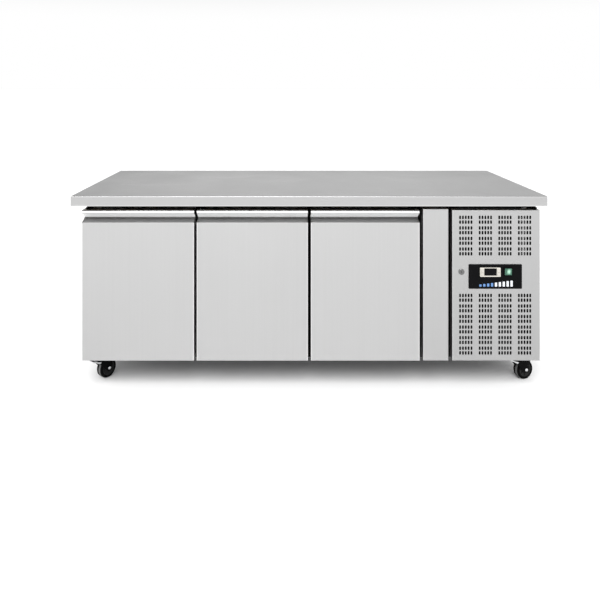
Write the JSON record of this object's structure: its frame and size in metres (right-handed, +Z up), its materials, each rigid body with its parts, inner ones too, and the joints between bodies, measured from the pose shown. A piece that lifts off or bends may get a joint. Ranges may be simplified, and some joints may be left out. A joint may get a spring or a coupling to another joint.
{
  "type": "worktop refrigerator",
  "caption": "Low refrigerated counter with insulated hinged doors, a side machine room behind a perforated panel, and swivel casters under it.",
  "frame": {"origin": "centre of the footprint, on the floor", "axes": "+Z up, +Y from the doors to the back, +X to the right as seen from the doors"},
  "size_m": [1.8, 0.7, 0.75],
  "materials": {
    "foam": "rigid polyurethane foam, hidden",
    "board": "board, hidden",
    "gasket": "matte",
    "abs": "smooth moulded",
    "dark_plastic": "matte",
    "stainless": "brushed, grain along the length",
    "zinc": "galvanised",
    "shelf_wire": "plastic-coated wire",
    "fins": "bare fins",
    "black_metal": "black, semi-gloss",
    "copper": "bare copper",
    "fan_plastic": "black plastic",
    "grey_plastic": "light grey",
    "green_plastic": "pale green, translucent",
    "chrome": "polished",
    "wheel_rubber": "matte black"
  },
  "bodies": {
    "cabinet": {"back_panel": "zinc", "base_pan": "zinc", "cable_gland": "dark_plastic", "caster_bolts": "zinc", "caster_plates": "zinc", "compressor": "black_metal", "condenser_coil": "fins", "condenser_shroud": "black_metal", "evaporator_coil": "fins", "evaporator_cover": "stainless", "evaporator_fan_motor": "black_metal", "filler_panel": "stainless", "front_frame": "dark_plastic", "hinge_brackets": "zinc", "inner_liner": "stainless", "insulation": "foam", "left_side_panel": "stainless", "machine_base_plate": "zinc", "machine_frame": "zinc", "rear_grille": "zinc", "refrigerant_pipes": "copper", "right_side_panel": "stainless", "shelf_supports": "zinc", "wire_shelves": "shelf_wire", "worktop_core": "board", "worktop_skin": "stainless"},
    "door_1": {"door_1_skin": "stainless", "door_1_foam": "foam", "door_1_liner": "abs", "door_1_gasket": "gasket"},
    "door_2": {"door_2_skin": "stainless", "door_2_foam": "foam", "door_2_liner": "abs", "door_2_gasket": "gasket"},
    "door_3": {"door_3_skin": "stainless", "door_3_foam": "foam", "door_3_liner": "abs", "door_3_gasket": "gasket"},
    "service_panel": {"service_panel": "stainless", "control_plate": "dark_plastic", "thermostat": "grey_plastic", "lock_barrel": "chrome"},
    "key_left_upper": {"key_left_upper": "grey_plastic"},
    "key_left_lower": {"key_left_lower": "grey_plastic"},
    "key_right_upper": {"key_right_upper": "grey_plastic"},
    "key_right_lower": {"key_right_lower": "grey_plastic"},
    "rocker": {"rocker": "green_plastic"},
    "lock_plug": {"lock_plug": "chrome"},
    "condenser_fan": {"condenser_fan": "fan_plastic"},
    "evaporator_fan": {"evaporator_fan": "fan_plastic"},
    "caster_fl_fork": {"caster_fl_fork": "black_metal"},
    "caster_fl_wheel": {"caster_fl_wheel": "wheel_rubber"},
    "caster_fl_pedal": {"caster_fl_pedal": "zinc"},
    "caster_fr_fork": {"caster_fr_fork": "black_metal"},
    "caster_fr_wheel": {"caster_fr_wheel": "wheel_rubber"},
    "caster_fr_pedal": {"caster_fr_pedal": "zinc"},
    "caster_rl_fork": {"caster_rl_fork": "black_metal"},
    "caster_rl_wheel": {"caster_rl_wheel": "wheel_rubber"},
    "caster_rr_fork": {"caster_rr_fork": "black_metal"},
    "caster_rr_wheel": {"caster_rr_wheel": "wheel_rubber"}
  },
  "joints": [
    {"name": "door_1_hinge", "type": "hinge", "parent": "cabinet", "child": "door_1", "pos_m": [-0.846, -0.312, 0.407], "axis": [0, 0, -1], "range_deg": [0, 105], "stiffness_Nm_per_rad": 1},
    {"name": "door_2_hinge", "type": "hinge", "parent": "cabinet", "child": "door_2", "pos_m": [-0.4085, -0.312, 0.407], "axis": [0, 0, -1], "range_deg": [0, 105], "stiffness_Nm_per_rad": 1},
    {"name": "door_3_hinge", "type": "hinge", "parent": "cabinet", "child": "door_3", "pos_m": [0.4035, -0.312, 0.407], "axis": [0, 0, 1], "range_deg": [0, 105], "stiffness_Nm_per_rad": 1},
    {"name": "service_panel_hinge", "type": "hinge", "parent": "cabinet", "child": "service_panel", "pos_m": [0.867, -0.312, 0.407], "axis": [0, 0, 1], "range_deg": [0, 105]},
    {"name": "lock_turn", "type": "hinge", "parent": "service_panel", "child": "lock_plug", "pos_m": [0.5805, -0.31, 0.459], "axis": [0, 1, 0], "range_deg": [0, 90]},
    {"name": "rocker_tilt", "type": "hinge", "parent": "service_panel", "child": "rocker", "pos_m": [0.757, -0.332, 0.461], "axis": [-1, 0, 0], "range_deg": [0, 16]},
    {"name": "key_left_upper_press", "type": "slide", "parent": "service_panel", "child": "key_left_upper", "axis": [0, 1, 0], "range_m": [0, 0.001], "stiffness_N_per_m": 600},
    {"name": "key_left_lower_press", "type": "slide", "parent": "service_panel", "child": "key_left_lower", "axis": [0, 1, 0], "range_m": [0, 0.001], "stiffness_N_per_m": 600},
    {"name": "key_right_upper_press", "type": "slide", "parent": "service_panel", "child": "key_right_upper", "axis": [0, 1, 0], "range_m": [0, 0.001], "stiffness_N_per_m": 600},
    {"name": "key_right_lower_press", "type": "slide", "parent": "service_panel", "child": "key_right_lower", "axis": [0, 1, 0], "range_m": [0, 0.001], "stiffness_N_per_m": 600},
    {"name": "caster_fl_swivel", "type": "hinge", "parent": "cabinet", "child": "caster_fl_fork", "pos_m": [-0.822, -0.219, 0.09], "axis": [0, 0, 1], "continuous": true},
    {"name": "caster_fl_roll", "type": "hinge", "parent": "caster_fl_fork", "child": "caster_fl_wheel", "pos_m": [-0.80823, -0.19934, 0.0375], "axis": [0.8192, -0.5736, 0], "continuous": true},
    {"name": "caster_fl_brake", "type": "hinge", "parent": "caster_fl_fork", "child": "caster_fl_pedal", "pos_m": [-0.83691, -0.2403, 0.076], "axis": [0.8192, -0.5736, 0], "range_deg": [0, 20]},
    {"name": "caster_fr_swivel", "type": "hinge", "parent": "cabinet", "child": "caster_fr_fork", "pos_m": [0.838, -0.219, 0.09], "axis": [0, 0, 1], "continuous": true},
    {"name": "caster_fr_roll", "type": "hinge", "parent": "caster_fr_fork", "child": "caster_fr_wheel", "pos_m": [0.86025, -0.21001, 0.0375], "axis": [0.3746, -0.9272, 0], "continuous": true},
    {"name": "caster_fr_brake", "type": "hinge", "parent": "caster_fr_fork", "child": "caster_fr_pedal", "pos_m": [0.81389, -0.22874, 0.076], "axis": [0.3746, -0.9272, 0], "range_deg": [0, 20]},
    {"name": "caster_rl_swivel", "type": "hinge", "parent": "cabinet", "child": "caster_rl_fork", "pos_m": [-0.822, 0.262, 0.09], "axis": [0, 0, 1], "continuous": true},
    {"name": "caster_rl_roll", "type": "hinge", "parent": "caster_rl_fork", "child": "caster_rl_wheel", "pos_m": [-0.83176, 0.28392, 0.0375], "axis": [0.9135, 0.4067, 0], "continuous": true},
    {"name": "caster_rr_swivel", "type": "hinge", "parent": "cabinet", "child": "caster_rr_fork", "pos_m": [0.838, 0.262, 0.09], "axis": [0, 0, 1], "continuous": true},
    {"name": "caster_rr_roll", "type": "hinge", "parent": "caster_rr_fork", "child": "caster_rr_wheel", "pos_m": [0.84134, 0.28577, 0.0375], "axis": [0.9903, -0.1392, 0], "continuous": true},
    {"name": "condenser_fan_spin", "type": "hinge", "parent": "cabinet", "child": "condenser_fan", "pos_m": [0.712, -0.128, 0.3], "axis": [0, 1, 0], "continuous": true},
    {"name": "evaporator_fan_spin", "type": "hinge", "parent": "cabinet", "child": "evaporator_fan", "pos_m": [0.418, 0.02, 0.52], "axis": [1, 0, 0], "continuous": true}
  ]
}
